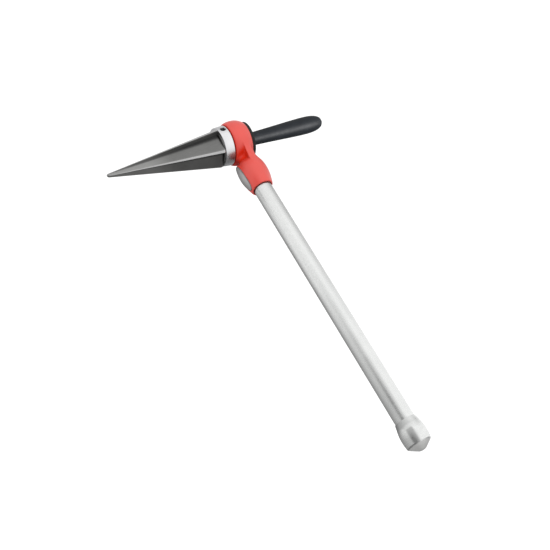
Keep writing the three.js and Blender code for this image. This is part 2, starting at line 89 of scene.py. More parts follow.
def sleeve_section(start, end, inner, outer, bore_round):
    """A plain sleeve's closed section, from start to end along its axis."""
    return closed([(start, inner), (end, inner, bore_round), (end, outer, 0.3),
                   (start, outer, 0.3)])


def curve_through(points, per=6):
    """A smooth section through the points: Catmull-Rom with end tangents held."""
    p = np.array(points, float)
    p = np.vstack([2 * p[0] - p[1], p, 2 * p[-1] - p[-2]])
    out = []
    for i in range(1, len(p) - 2):
        for k in range(per):
            t = k / per
            out.append(tuple(0.5 * ((2 * p[i]) + (-p[i - 1] + p[i + 1]) * t
                       + (2 * p[i - 1] - 5 * p[i] + 4 * p[i + 1] - p[i + 2]) * t * t
                       + (-p[i - 1] + 3 * p[i] - 3 * p[i + 1] + p[i + 2]) * t ** 3)))
    out.append(tuple(p[-2]))
    return out


# ------------------------------------------------------------------ meshes
def row_mesh(name, verts, faces):
    """A welded mesh in the row frame, its faces turned outwards."""
    verts = np.array(verts, float)
    verts[:, 1] += HEAD_Y
    mesh = bpy.data.meshes.new(name)
    mesh.from_pydata([tuple(v) for v in verts * MM], [], faces)
    mesh.validate()
    mesh.update()
    bm = bmesh.new()
    bm.from_mesh(mesh)
    bmesh.ops.remove_doubles(bm, verts=bm.verts, dist=1e-7)
    bmesh.ops.recalc_face_normals(bm, faces=bm.faces)
    bm.to_mesh(mesh)
    bm.free()
    return mesh


def shade_smooth(mesh, sharp):
    """Smooth shading, broken at edges sharper than an angle in degrees."""
    mesh.polygons.foreach_set("use_smooth", np.ones(len(mesh.polygons), bool))
    mesh.set_sharp_from_angle(angle=math.radians(sharp))
    mesh.update()


def mesh_object(name, verts, faces, mats, body, stands_for, sharp=30.0, face_mat=None):
    mesh = row_mesh(name, verts, faces)
    for mat in mats:
        mesh.materials.append(mat)
    # only when tidying the mesh has dropped no face does the list still match
    if face_mat is not None and len(face_mat) == len(mesh.polygons):
        mesh.polygons.foreach_set("material_index", np.asarray(face_mat, np.int32))
    ob = bpy.data.objects.new(name, mesh)
    SCENE.collection.objects.link(ob)
    shade_smooth(mesh, sharp)
    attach(ob, body)
    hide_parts(stands_for)
    return ob


def turn(profile, axis, seg, loop=False):
    """Vertices and faces of a section (along, radius) turned about X or Y.

    loop joins the section's last point to its first."""
    verts, faces, rings = [], [], []
    angles = np.arange(seg) * TAU / seg
    for along, radius in profile:
        first = len(verts)
        if abs(radius) < 1e-6:
            circle = [(0, 0)]
        else:
            circle = zip(np.cos(angles) * radius, np.sin(angles) * radius)
        verts += [(along, side, up) if axis == "X" else (side, along, up) for side, up in circle]
        rings.append(range(first, len(verts)))
    pairs = list(zip(rings[:-1], rings[1:]))
    if loop:
        pairs.append((rings[-1], rings[0]))
    for here, there in pairs:
        for i in range(seg):
            j = (i + 1) % seg
            if len(here) == 1:
                faces.append((here[0], there[j], there[i]))
            elif len(there) == 1:
                faces.append((here[i], here[j], there[0]))
            else:
                faces.append((here[i], here[j], there[j], there[i]))
    return verts, faces


def lathe(name, profile, axis, mats, body, stands_for, seg, loop=False, sharp=30.0):
    verts, faces = turn(profile, axis, seg, loop)
    return mesh_object(name, verts, faces, mats, body, stands_for, sharp)


def loft_faces(ring_count, n, first, start, end):
    """Faces joining rings of n vertices that begin at index first, fanned to two end vertices."""
    faces = []
    for k in range(ring_count - 1):
        here, there = first + k * n, first + (k + 1) * n
        for i in range(n):
            j = (i + 1) % n
            faces.append((here + i, there + i, there + j, here + j))
    last = first + (ring_count - 1) * n
    for i in range(n):
        j = (i + 1) % n
        faces.append((start, first + i, first + j))
        faces.append((end, last + j, last + i))
    return faces


def cutter(profile, place, seg):
    """A solid to cut away: a section turned about X, then placed."""
    verts, faces = turn(profile, "X", seg)
    ob = bpy.data.objects.new("cut", row_mesh("cut", place(np.array(verts)), faces))
    SCENE.collection.objects.link(ob)
    return ob


def cut_away(ob, tools, sharp):
    """Exact boolean differences, written back into the mesh."""
    for tool in tools:
        modifier = ob.modifiers.new("cut", "BOOLEAN")
        modifier.operation = "DIFFERENCE"
        modifier.solver = "EXACT"
        modifier.object = tool
    depsgraph = bpy.context.evaluated_depsgraph_get()
    made = bpy.data.meshes.new_from_object(ob.evaluated_get(depsgraph))
    made.name = ob.name
    ob.modifiers.clear()
    old = ob.data
    ob.data = made
    bpy.data.meshes.remove(old)
    for tool in tools:
        mesh = tool.data
        bpy.data.objects.remove(tool)
        bpy.data.meshes.remove(mesh)
    bm = bmesh.new()
    bm.from_mesh(made)
    bmesh.ops.remove_doubles(bm, verts=bm.verts, dist=2e-7)
    bmesh.ops.dissolve_degenerate(bm, edges=bm.edges, dist=1e-7)
    bm.to_mesh(made)
    bm.free()
    shade_smooth(made, sharp)


def radial_frame(degrees):
    """Unit vector out from the X axis, at an angle from -Y towards +Z, and its side vector."""
    t = math.radians(degrees)
    return np.array([0, -math.cos(t), math.sin(t)]), np.array([0, math.sin(t), math.cos(t)])


def radial_place(x, degrees):
    """Puts a shape drawn along X on a radial line of the reamer's axis, at x."""
    out, side = radial_frame(degrees)

    def place(points):
        placed = (np.outer(points[:, 0], out) + np.outer(points[:, 1], [1, 0, 0])
                  + np.outer(points[:, 2], side))
        placed[:, 0] += x
        return placed
    return place


# ------------------------------------------------------------------ marks read by the materials
def drawn_points(ob):
    """The vertices in drawing millimetres."""
    co = np.empty(len(ob.data.vertices) * 3)
    ob.data.vertices.foreach_get("co", co)
    return co.reshape(-1, 3) / MM - np.array([0, HEAD_Y, 0])


def store(ob, name, values):
    attribute = ob.data.attributes.new(name, "FLOAT", "POINT")
    attribute.data.foreach_set("value", values.astype(np.float32))


def rise(value, over, least=0):
    """0 (or least) to 1 as value goes from 0 to over."""
    return np.clip(value / over, least, 1)


# ------------------------------------------------------------------ node trees
class Nodes:
    """A small writer of node trees."""

    def __init__(self, owner):
        owner.use_nodes = True
        self.tree = owner.node_tree
        self.tree.nodes.clear()

    def node(self, kind, inputs=None, **properties):
        made = self.tree.nodes.new("ShaderNode" + kind)
        for key, value in properties.items():
            setattr(made, key, value)
        for key, value in (inputs or {}).items():
            self.put(made.inputs[key], value)
        return made

    def put(self, socket, value):
        if isinstance(value, bpy.types.NodeSocket):
            self.tree.links.new(value, socket)
        elif isinstance(value, tuple) and len(value) == 3 and socket.type == "RGBA":
            socket.default_value = (*value, 1)
        else:
            socket.default_value = value

    def maths(self, operation, a, b, clamp=False):
        return self.node("Math", {0: a, 1: b}, operation=operation, use_clamp=clamp).outputs[0]

    def times(self, a, b):
        return self.maths("MULTIPLY", a, b)

    def mix(self, fac, a, b):
        return self.node("Mix", {0: fac, 6: a, 7: b}, data_type="RGBA").outputs[2]

    def remap(self, value, span, to=(0, 1)):
        inputs = {0: value, 1: span[0], 2: span[1], 3: to[0], 4: to[1]}
        return self.node("MapRange", inputs).outputs[0]

    def ramp(self, fac, *stops):
        """A ramp through (position, grey) stops."""
        made = self.node("ValToRGB")
        elements = made.color_ramp.elements
        while len(elements) < len(stops):
            elements.new(0.5)
        for element, (position, level) in zip(elements, stops):
            element.position = position
            element.color = (level, level, level, 1)
        self.put(made.inputs[0], fac)
        return made.outputs[0]

    def ramp_over(self, value, *stops, span=(-1, 1)):
        """A ramp through (value, grey) stops, the values lying within span."""
        lo, hi = span
        return self.ramp(self.remap(value, span), *[((p - lo) / (hi - lo), v) for p, v in stops])


class Mat(Nodes):
    """A Principled material. Its texture space is the row frame, in millimetres."""

    def __init__(self, name):
        self.material = bpy.data.materials.new(name)
        super().__init__(self.material)
        out = self.node("OutputMaterial")
        self.bsdf = self.node("BsdfPrincipled")
        self.put(out.inputs[0], self.bsdf.outputs[0])
        self.mm = self.scaled((1 / MM,) * 3, self.node("TexCoord").outputs["Object"])

    def finish(self, **values):
        for key, value in values.items():
            self.put(self.bsdf.inputs[key.replace("_", " ")], value)
        return self.material

    def scaled(self, scale, vector=None):
        inputs = {"Scale": scale, "Vector": vector or self.mm}
        return self.node("Mapping", inputs).outputs[0]

    def noise(self, scale, detail=3.0, rough=0.5, vector=None, distortion=0.0):
        return self.node("TexNoise", {
            "Scale": scale, "Detail": detail, "Roughness": rough,
            "Distortion": distortion, "Vector": vector or self.mm}).outputs["Fac"]

    def attribute(self, name):
        return self.node("Attribute", attribute_name=name).outputs["Fac"]

    def openness(self, distance):
        """Ambient occlusion within a distance in metres: 1 in the open."""
        return self.node("AmbientOcclusion", {"Distance": distance}, samples=12).outputs["AO"]

    def pointed(self, *stops):
        """A ramp over pointiness: high on outer edges, low in creases."""
        return self.ramp(self.node("NewGeometry").outputs["Pointiness"], *stops)

    def tint(self, col, fac, amount, colour):
        return self.mix(self.times(fac, amount), col, colour)

    def sway(self, value, fac, amount, clamp=False):
        """value moved up and down by a texture that lies about 0.5."""
        return self.maths("ADD", value, self.times(self.maths("SUBTRACT", fac, 0.5), amount),
                          clamp)

    def bump(self, height, strength, distance, normal=None):
        inputs = {"Strength": strength, "Distance": distance, "Height": height}
        if normal is not None:
            inputs["Normal"] = normal
        return self.node("Bump", inputs).outputs[0]


def grey(level):
    return (level,) * 3


def dimmed(colour, share):
    """A colour times share, no channel above 0.95."""
    return tuple(min(0.95, share * c) for c in colour)


# ------------------------------------------------------------------ materials
def metal(name, base, dark, rough, lay, wear, metallic=1.0, streaks=0.20, bump=0.25, grime=0.0,
          marked=False, mottle=0.0, shaded=False):
    """Machined or plated steel.

    lay is the texture scale along X, Y and Z: small along the tool marks. wear, streaks, grime
    and mottle are the strengths of bright edges, tool marks, brown patches and dark flecks.
    marked paints shade by root and lightening by towards_tip; shaded paints shade in recesses."""
    mat = Mat(name)
    cloud = mat.noise(0.035, detail=4, rough=0.55)
    fine = mat.noise(0.9, detail=3, rough=0.6)
    marks = mat.noise(1.0, detail=3, rough=0.65, vector=mat.scaled(lay))
    col = mat.mix(mat.remap(cloud, span=(0.3, 0.7)), dark, base)
    col = mat.tint(col, mat.remap(marks, span=(0.35, 0.65)), streaks, dimmed(dark, 0.62))
    if grime:
        patches = mat.noise(0.16, detail=5, rough=0.7, distortion=0.6)
        patches = mat.ramp(patches, (0.55, 0.0), (0.75, 1.0))
        col = mat.tint(col, patches, grime, (0.16, 0.14, 0.12))
    # painted shade: darker where other surfaces are near
    if shaded:
        near = mat.remap(mat.openness(distance=0.06), span=(0.66, 0.97))
        col = mat.mix(near, dimmed(base, 0.30), col)
    if mottle:
        flecks = mat.noise(0.42, detail=5, rough=0.72, distortion=0.4)
        flecks = mat.remap(flecks, span=(0.38, 0.62))
        col = mat.tint(col, flecks, mottle, dimmed(dark, 0.45))
    col = mat.tint(col, mat.pointed((0.505, 0.0), (0.56, 1.0)), wear, grey(0.9))
    roughness = mat.sway(rough, cloud, amount=0.22)
    if marked:
        # root is painted shade and dark reflection, and dull; towards_tip is lighter
        root = mat.attribute("root")
        col = mat.mix(mat.attribute("towards_tip"), col, dimmed(base, 2.6))
        col = mat.mix(mat.maths("POWER", root, 1.2), col, grey(0.048))
        roughness = mat.maths("ADD", roughness, mat.times(root, 0.15))
    roughness = mat.sway(roughness, marks, amount=0.18, clamp=True)
    if mottle:
        roughness = mat.sway(roughness, flecks, amount=0.12, clamp=True)
    normal = mat.bump(marks, strength=bump, distance=0.00006)
    if mottle:
        normal = mat.bump(flecks, strength=0.14, distance=0.00006, normal=normal)
    normal = mat.bump(fine, strength=bump * 0.5, distance=0.00004, normal=normal)
    return mat.finish(Base_Color=col, Metallic=metallic, Roughness=roughness, Normal=normal)


def red_enamel():
    """Red enamel over a sand casting."""
    mat = Mat("red_enamel")
    cloud = mat.noise(0.03, detail=4, rough=0.5)
    grain = mat.noise(0.55, detail=4, rough=0.6)
    peel = mat.noise(0.22, detail=2, rough=0.4)
    clouding = mat.remap(cloud, span=(0.3, 0.7))
    col = mat.mix(clouding, (0.57, 0.033, 0.019), (0.63, 0.042, 0.026))
    # painted shade: a darker red in creases
    painted_crease_shade = mat.pointed((0.44, 1.0), (0.495, 0.0))
    col = mat.tint(col, painted_crease_shade, 0.45, (0.34, 0.010, 0.004))
    # painted shade: recesses get a deeper red and less gloss, except the places marked as lit
    opening = mat.remap(mat.openness(distance=0.05), span=(0.72, 0.99))
    opening = mat.maths("MAXIMUM", opening, mat.attribute("painted_light_place"))
    col = mat.mix(opening, (0.56, 0.020, 0.006), col)
    # painted shade: the marked rim, lower side and neck turn dark red and lose their gloss
    rim = mat.attribute("shaded_place")
    opening = mat.times(opening, mat.maths("SUBTRACT", 1.0, rim))
    col = mat.mix(rim, col, (0.20, 0.006, 0.004))
    # edges are lighter, with a few chips down to grey
    col = mat.tint(col, mat.pointed((0.52, 0.0), (0.60, 1.0)), 0.25, (0.85, 0.16, 0.12))
    patches = mat.ramp(mat.noise(0.5, detail=5, rough=0.7), (0.60, 0.0), (0.64, 1.0))
    chips = mat.times(mat.pointed((0.54, 0.0), (0.60, 1.0)), patches)
    col = mat.tint(col, chips, 0.6, (0.22, 0.20, 0.19))
    # painted shade: seen in a reflection it is darker
    glossy = mat.node("LightPath").outputs["Is Glossy Ray"]
    col = mat.tint(col, glossy, 0.75, (0.17, 0.055, 0.048))
    roughness = mat.remap(mat.noise(0.12, detail=3, rough=0.5), span=(0.3, 0.7), to=(0.36, 0.50))
    normal = mat.bump(peel, strength=0.25, distance=0.0003)
    normal = mat.bump(grain, strength=0.22, distance=0.00012, normal=normal)
    specular = mat.maths("ADD", mat.times(opening, 0.70), 0.05)
    return mat.finish(Base_Color=col, Roughness=roughness, Normal=normal, Coat_Roughness=0.36,
                      Coat_Weight=mat.times(opening, 0.8), Specular_IOR_Level=specular)


def plastic(name, dark, light, rough, wear, grain, bump, specular):
    """Black plastic. wear is the strength of grey edges, grain the scale of its bumps."""
    mat = Mat(name)
    cloud = mat.noise(0.04, detail=4, rough=0.55)
    spark = mat.noise(grain, detail=3, rough=0.6)
    col = mat.mix(mat.remap(cloud, span=(0.3, 0.7)), dark, light)
    col = mat.tint(col, mat.pointed((0.505, 0.0), (0.57, 1.0)), wear, (0.20, 0.21, 0.22))
    scuffs = mat.noise(0.09, detail=6, rough=0.75, vector=mat.scaled((0.5, 2.5, 2.5)))
    scuffs = mat.ramp(scuffs, (0.58, 0.0), (0.70, 1.0))
    col = mat.tint(col, scuffs, 0.10, (0.16, 0.17, 0.18))
    roughness = mat.sway(rough, mat.noise(0.15, detail=4, rough=0.6), amount=0.2, clamp=True)
    return mat.finish(Base_Color=col, Roughness=roughness, Specular_IOR_Level=specular,
                      Normal=mat.bump(spark, strength=bump, distance=0.0001))


RED = red_enamel()
# painted shade darkens the flutes towards their roots
FLUTE = metal("cutter_flute", base=(0.25, 0.25, 0.245), dark=(0.21, 0.21, 0.205), rough=0.40,
              lay=(0.06, 1.6, 1.6), wear=0.25, streaks=0.24, bump=0.35, marked=True)
LAND = metal("cutter_land", base=grey(0.70), dark=grey(0.60), rough=0.34,
             lay=(0.05, 2.6, 2.6), wear=0.2, streaks=0.16)
COLLAR = metal("collar_zinc", base=(0.90, 0.90, 0.91), dark=(0.84, 0.84, 0.86), rough=0.30,
               lay=(2.8, 0.10, 0.10), wear=0.3, streaks=0.12)
TUBE = metal("tube_plating", base=(0.91, 0.92, 0.91), dark=(0.85, 0.86, 0.85), rough=0.27,
             lay=(1.2, 0.030, 1.2), wear=0.2, streaks=0.10, bump=0.12, mottle=0.06)
# the cap's marks are painted dark reflection
CAP = metal("cap_plating", base=(0.91, 0.92, 0.91), dark=(0.85, 0.86, 0.85), rough=0.27,
            lay=(0.12, 1.2, 0.12), wear=0.3, streaks=0.10, bump=0.16, mottle=0.11, marked=True)
CAP_END = metal("cap_end_ground", base=(0.66, 0.66, 0.65), dark=(0.56, 0.56, 0.55), rough=0.46,
                lay=(0.5, 1.2, 0.5), wear=0.3, metallic=0.55, streaks=0.12, bump=0.3,
                mottle=0.10)
STEEL = metal("machined_steel", base=(0.60, 0.61, 0.63), dark=(0.48, 0.49, 0.51), rough=0.32,
              lay=(2.0, 0.12, 0.12), wear=0.4, bump=0.3)
SPRING = metal("spring_wire", base=(0.42, 0.43, 0.45), dark=(0.32, 0.33, 0.35), rough=0.35,
               lay=(1.2, 1.2, 1.2), wear=0.4)
BRONZE = metal("bronze_bush", base=(0.66, 0.46, 0.22), dark=(0.52, 0.35, 0.16), rough=0.38,
               lay=(1.8, 0.2, 0.2), wear=0.3, grime=0.2)
# the plate carries painted shade, near other surfaces and towards its lower edge
PLATE = metal("plate_silver", base=(0.68, 0.67, 0.66), dark=(0.60, 0.59, 0.58), rough=0.44,
              lay=(0.4, 2.4, 2.4), wear=0.4, metallic=0.85, streaks=0.12, shaded=True,
              marked=True)
# painted shade: the dark bands round the plate's edge
PLATE_EDGE = metal("plate_edge_painted_shade", base=grey(0.20), dark=grey(0.14), rough=0.48,
                   lay=(0.4, 1.2, 1.2), wear=0.3, metallic=0.85, streaks=0.12)
BLACK_OXIDE = metal("black_oxide", base=(0.012, 0.012, 0.014), dark=(0.008, 0.008, 0.009),
                    rough=0.45, lay=(1.2, 1.2, 1.2), wear=0.06, metallic=0.9)
COVER = plastic("cover_black", dark=(0.006, 0.006, 0.005), light=(0.010, 0.010, 0.008),
                rough=0.62, wear=0.35, grain=0.6, bump=0.2, specular=0.15)
GRIP = plastic("grip_black", dark=(0.003, 0.0045, 0.0065), light=(0.006, 0.008, 0.011),
               rough=0.50, wear=0.22, grain=0.35, bump=0.35, specular=0.27)

# ------------------------------------------------------------------ cutter cone
FLUTES = 5
PITCH = 360 / FLUTES            # degrees from one cutting edge to the next
FIRST_EDGE = 33.9               # degrees from -Y towards +Z
LAND_SWEEP = 7.2                # degrees of land behind a cutting edge
# the cutting face, as shares of the land's radius; its lean is in degrees
RAKE_DEPTH, RAKE_LEAN = 0.16, 86.0
ROOT_ROUND, ROOT_SWEEP = 0.2, 68
TIP_X, NOSE_X, NOSE_R = -199.9, -197.1, 3.0
BIG_X, BIG_R = -31.8, 29.2      # the flanks' big end
NECK_X, NECK_R, BACK_X = -29.3, 24.1, -18.8
BORE_R, BORE_END_X = 8.06, -62.3
# (degrees after the cutting edge, share of painted shade) over one flute
PAINTED_ROOT_SHADE = [(0, 0), (PITCH - 21, 0.0), (PITCH - 14, 0.55), (PITCH - 7, 1.0), (PITCH - 2.0, 1.0),
         (PITCH - 0.4, 0.6), (PITCH, 0)]


def around(degrees, radius):
    t = math.radians(degrees)
    return np.array([-radius * math.cos(t), radius * math.sin(t)])


def cone_section():
    """Points (y, z) at land radius 1 round the fluted section, and which spans are land."""
    land_steps, floor_steps, root_steps, face_steps = 7, 14, 14, 4
    points, land = [], []
    for k in range(FLUTES):
        edge = FIRST_EDGE + k * PITCH
        lands = [around(edge + LAND_SWEEP * i / land_steps, 1.0) for i in range(land_steps)]
        start = around(edge + LAND_SWEEP, 1.0)
        lean = edge + PITCH - RAKE_LEAN
        top = around(edge + PITCH, 1.0)
        foot = top + around(lean - 90, RAKE_DEPTH)
        centre = foot + around(lean, ROOT_ROUND)
        root = [centre - around(lean + ROOT_SWEEP * i / root_steps, ROOT_ROUND)
                for i in range(root_steps, -1, -1)]
        flute = [start + (root[0] - start) * (i / floor_steps) for i in range(floor_steps)]
        flute += root
        flute += [foot + (top - foot) * i / face_steps for i in range(1, face_steps)]
        points += lands + flute
        land += [True] * len(lands) + [False] * len(flute)
    return np.array(points), land


def mark_cone(ob):
    """Painted shade towards the root of each flute, and lighter towards the tip."""
    x, y, z = drawn_points(ob).T
    angle = (np.degrees(np.arctan2(z, -y)) - FIRST_EDGE) % PITCH
    depth = np.interp(angle, *np.array(PAINTED_ROOT_SHADE).T)
    depth *= rise(x - TIP_X - 4, over=30) * 0.5 + 0.5 * rise(x - TIP_X, over=120, least=0.2)
    depth[x > NECK_X - 0.02] = 0
    store(ob, "root", depth)
    store(ob, "towards_tip", np.interp(x, [TIP_X, -140, -105], [0.35, 0.3, 0.0]))


def build_cone():
    points, land = cone_section()
    n = len(points)
    angle = np.arctan2(points[:, 1], -points[:, 0])
    share = np.hypot(points[:, 0], points[:, 1])
    # stations (x, land radius): blunt round tip, straight flanks, small round at the big end
    stations = curve_through([(TIP_X, 0.55), (TIP_X + 0.45, 1.4), (TIP_X + 1.35, 2.35),
                              (NOSE_X, NOSE_R)], 3)
    x0, r0 = stations[-1]
    for t in np.linspace(0, 1, 60)[1:]:
        stations.append((x0 + (BIG_X - x0) * t, r0 + (BIG_R - r0) * t))
    stations += [(BIG_X + 0.8, BIG_R - 0.05), (BIG_X + 1.5, BIG_R - 0.35),
                 (BIG_X + 2.1, BIG_R - 0.9), (NECK_X, BIG_R - 1.7)]
    rows = []
    for x, radius in stations:
        fade = min(1.0, max(0.0, (x - TIP_X) / 7.0))    # the flutes die out at the tip
        rows.append((x, radius * (1 + (share - 1) * (0.25 + 0.75 * fade))))
    # the end face runs in to the round neck, whose front edge stands proud of the flute floors
    last = rows[-1][1]
    rows += [(NECK_X + 0.01, np.minimum(last, NECK_R)),
             (NECK_X + 0.03, np.where(last < NECK_R, NECK_R - 0.3, NECK_R)),
             (NECK_X + 0.33, NECK_R), (BACK_X - 0.5, NECK_R), (BACK_X, NECK_R - 0.5),
             # a blind bore in the back face
             (BACK_X, 8.6), (BACK_X - 0.6, BORE_R), (BORE_END_X, BORE_R)]
    verts = []
    for x, radius in rows:
        radii = radius * np.ones(n)
        verts += [(x, -radii[i] * math.cos(angle[i]), radii[i] * math.sin(angle[i]))
                  for i in range(n)]
    tip = len(verts)
    verts += [(TIP_X, 0, 0), (BORE_END_X, 0, 0)]
    faces = loft_faces(len(rows), n, first=0, start=tip, end=tip + 1)
    face_mat = [int(land[i] and k < len(stations) - 1)
                for k in range(len(rows) - 1) for i in range(n)] + [1, 0] * n
    ob = mesh_object("cutter_cone", verts, faces, [FLUTE, LAND], body="rotor",
                     stands_for="reamer_cone", sharp=16.0,
                     face_mat=face_mat)
    mark_cone(ob)


build_cone()


# ------------------------------------------------------------------ screws
def socket_screw(name, stands_for, body, place, head, tip, radius, across, dog=None,
                 cone_head=None):
    """A hexagon-socket screw drawn along X from tip to head, then put in the part by place.

    across is the socket's width over flats, dog the radius of a thinner point, and cone_head
    the (height, radius) of a countersunk head."""
    n = 48
    dog_length, socket_depth = 1.8, 1.5
    angle = np.arange(n) * TAU / n
    socket = (across / 2) / np.cos((angle + math.pi / 6) % (math.pi / 3) - math.pi / 6)
    point = dog or radius
    profile = [(tip, point - 0.5), (tip + 0.5, point)]
    if dog:
        step = tip + dog_length
        profile += [(step, dog), (step + 0.3, radius)]
    if cone_head:
        height, head_r = cone_head
        face_r = head_r - 0.25
        profile += [(head - height, radius), (head - 0.3, head_r - 0.1), (head - 0.12, head_r)]
    else:
        face_r = radius - 0.6
        profile += [(head - 0.6, radius), (head - 0.2, radius - 0.25)]
    profile += [(head, face_r), (head, np.minimum(socket + 0.22, face_r)), (head - 0.2, socket),
                (head - socket_depth, socket), (head - (socket_depth + 0.35), socket * 0.35)]
    verts = []
    for along, ring in profile:
        ring = ring * np.ones(n)
        verts += [(along, ring[i] * math.cos(angle[i]), ring[i] * math.sin(angle[i]))
                  for i in range(n)]
    start = len(verts)
    verts += [(profile[0][0], 0, 0), (profile[-1][0], 0, 0)]
    # each face is wound the other way about its first corner
    faces = [face[:1] + face[:0:-1]
             for face in loft_faces(len(profile), n, first=0, start=start, end=start + 1)]
    return mesh_object(name, place(np.array(verts)), faces, [BLACK_OXIDE], body, stands_for,
                       sharp=24)


# ------------------------------------------------------------------ drive collar, set screws
SET_SCREW_X, SET_SCREW_ANGLES = -20.9, (107.5, 251.5)
# hole section (height along the screw's axis, radius), widening at its mouth
SET_SCREW_HOLE = [(24.2, 0), (24.2, 4.4), (28.75, 4.4), (29.5, 4.9), (31.5, 5.6), (31.5, 0)]
# (x, radius, rounding)
COLLAR_SECTION = [
    (-18.5, 24.4), (-28.3, 24.4), (-28.75, 24.95, 0.2), (-28.75, 28.5, 0.55),
    (-14.9, 29.72, 0.6), (-14.9, 15.0), (-8.9, 15.0, 0.3), (-8.9, 11.06), (-18.5, 11.06)]

collar = lathe("collar", closed(COLLAR_SECTION), "X", [COLLAR], body="rotor",
               stands_for="drive_collar", seg=240, loop=True)
set_screw_places = [radial_place(SET_SCREW_X, angle) for angle in SET_SCREW_ANGLES]
cut_away(collar, [cutter(SET_SCREW_HOLE, place, 64) for place in set_screw_places], sharp=28)
for number, place in enumerate(set_screw_places, 1):
    socket_screw("set_screw_%d" % number, "collar_set_screw_%d" % number, "rotor", place,
                 head=26.6, tip=23.0, radius=4.3, across=5.0, dog=2.3)

# ------------------------------------------------------------------ cast housing
# Outlines (x, radius) of the head ring and (y, radius) of the others; the web's is (y, half width)
RING = [(-15.4, 28.2), (-13.7, 29.85), (-12.6, 30.75), (-11, 31.6), (-8, 32.5), (-4.5, 33.15),
        (-1.0, 33.35), (3, 33.15), (6.5, 32.55), (9.5, 31.65), (12, 30.55), (14, 29.4),
        (15, 28.7), (16.2, 27.6)]
BARREL = [(-93, 13.9), (-89.6, 16.0), (-87, 17.05), (-84, 17.95), (-80, 19.0), (-75, 20.1),
          (-70, 20.9), (-65, 21.4), (-61, 21.45), (-57, 21.2), (-52.5, 20.5), (-49, 19.6),
          (-46, 18.3), (-43.5, 16.6), (-41.2, 14.6), (-39, 12.9), (-36.5, 11.7), (-33, 11.0),
          (-28, 10.6), (-20, 10.5)]
PAD = [(-90, 16.0), (-87, 17.05), (-84, 17.95), (-80, 19.0), (-75, 20.1), (-70, 20.95),
       (-65, 21.4), (-60, 21.45), (-55, 21.2), (-51, 20.85), (-47, 20.4), (-44, 19.9),
       (-42, 19.45), (-40, 18.9)]
SHOULDER = [(-62, 20.0), (-58, 20.6), (-52.5, 20.4), (-46, 19.3), (-42, 18.4), (-38, 17.2),
            (-33.5, 15.8), (-22, 14.6), (-18, 14.5)]
WEB = [(-58, 14.0), (-53, 17.2), (-50, 18.6), (-45, 19.2), (-40, 19.9), (-34, 21.1),
       (-28, 22.8), (-22, 25.0), (-15, 27.6), (-8, 29.4), (0, 30.0)]

RING_FRONT_X, RING_REAR_X, RING_ROUND = -13.7, 15.0, 1.1
WEB_FRONT_X = -2.2
PLATE_Y = -65.0                         # centre of the oval plate, its pad and its seat
PAD_HALF = (23.2, 10.6)                 # half length, half width
SEAT_HALF, SEAT_DEPTH = (22.45, 9.85), 0.35
COLLAR_ROOM_R, COLLAR_ROOM_X = 30.9, -13.72
COVER_ROOM_R, COVER_ROOM_X = 29.2, 15.02
FRONT_BORE_R, FRONT_BORE_X = 17.56, -8.0
REAR_BORE_R, REAR_BORE_X = 20.66, -8.8
SQUARE_HALF, SQUARE_Y = 5.07, (-53.0, -15.0)    # square channel between head and handle
ROUND_R, ROUND_Y = 8.08, (-58.5, -51.7)         # round channel that follows it
SOCKET_R, SOCKET_Y = 13.62, -57.6               # handle socket and its wider mouth
MOUTH_R, MOUTH_Y = 14.5, -86.6
COVER_SCREW_CIRCLE, COVER_SCREW_HOLE_R, COVER_SCREW_HOLE_X = 24, 2.1, 4
COVER_SCREW_CENTRES = [COVER_SCREW_CIRCLE * radial_frame(angle)[0] for angle in (60, 180, 300)]


def outline(points):
    """A smoothed lookup through the points: radius and slope."""
    curve = np.array(curve_through(points, 8))
    along = np.linspace(curve[0, 0], curve[-1, 0], 600)
    radius = np.interp(along, curve[:, 0], curve[:, 1])
    padded = np.concatenate([np.full(4, radius[0]), radius, np.full(4, radius[-1])])
    radius = np.convolve(padded, np.ones(9) / 9, "valid")
    slope = np.gradient(radius, along)
    return lambda t: (np.interp(t, along, radius), np.interp(t, along, slope))


RING_AT, BARREL_AT, WEB_AT, SHOULDER_AT, PAD_AT = map(outline, (RING, BARREL, WEB, SHOULDER, PAD))


def smin(a, b, blend):
    """The union of two distances, blended."""
    h = np.maximum(blend - np.abs(a - b), 0)
    return np.minimum(a, b) - h * h / (4 * blend)


def smax(a, b, blend):
    """The overlap of two distances, blended."""
    return -smin(-a, -b, blend)


def carve(solid, hollow, blend=None):
    if blend is None:
        return np.maximum(solid, -hollow)
    return smax(solid, -hollow, blend)


def beyond(distance, along, outline_at):
    """About how far a place at a distance from the axis lies outside an outline."""
    radius, slope = outline_at(along)
    return (distance - radius) / np.sqrt(1 + slope * slope)


def oval(y, z, half, scale):
    """About how far (y, z) lies outside an oval round the plate's centre."""
    return (np.hypot((y - PLATE_Y) / half[0], z / half[1]) - 1) * scale


def web_field(x, y, z, from_y):
    """The web between head and barrel; behind its front wall the barrel keeps its shoulder."""
    web = beyond(np.abs(z), y, WEB_AT)
    web = smax(web, WEB_FRONT_X - x, 0.9)
    web = smax(web, x - 11.2, 9.0)
    web = smax(web, -57 - y, 7.0)
    web = np.maximum(web, y + 2)
    shoulder = smax(beyond(from_y, y, SHOULDER_AT), WEB_FRONT_X - x, 0.9)
    shoulder = np.maximum(shoulder, np.maximum(y + 20, -61 - y))
    return smin(web, shoulder, 2.0)


def housing_solid(x, y, z, from_x, from_y):
    ring = beyond(from_x, x, RING_AT)
    ring = smax(ring, RING_FRONT_X - x, RING_ROUND)
    ring = smax(ring, x - RING_REAR_X, RING_ROUND)
    barrel = smax(beyond(from_y, y, BARREL_AT), -89.6 - y, 1.6)
    barrel = np.maximum(barrel, y + 18)
    solid = smin(ring, barrel, 4.0)
    solid = smin(solid, web_field(x, y, z, from_y), 2.0)
    # pad that carries the plate past the barrel's shoulder
    pad = smax(beyond(from_y, y, PAD_AT), oval(y, z, PAD_HALF, 9.0), 1.2)
    return smin(solid, np.maximum(pad, x + 4), 1.2)


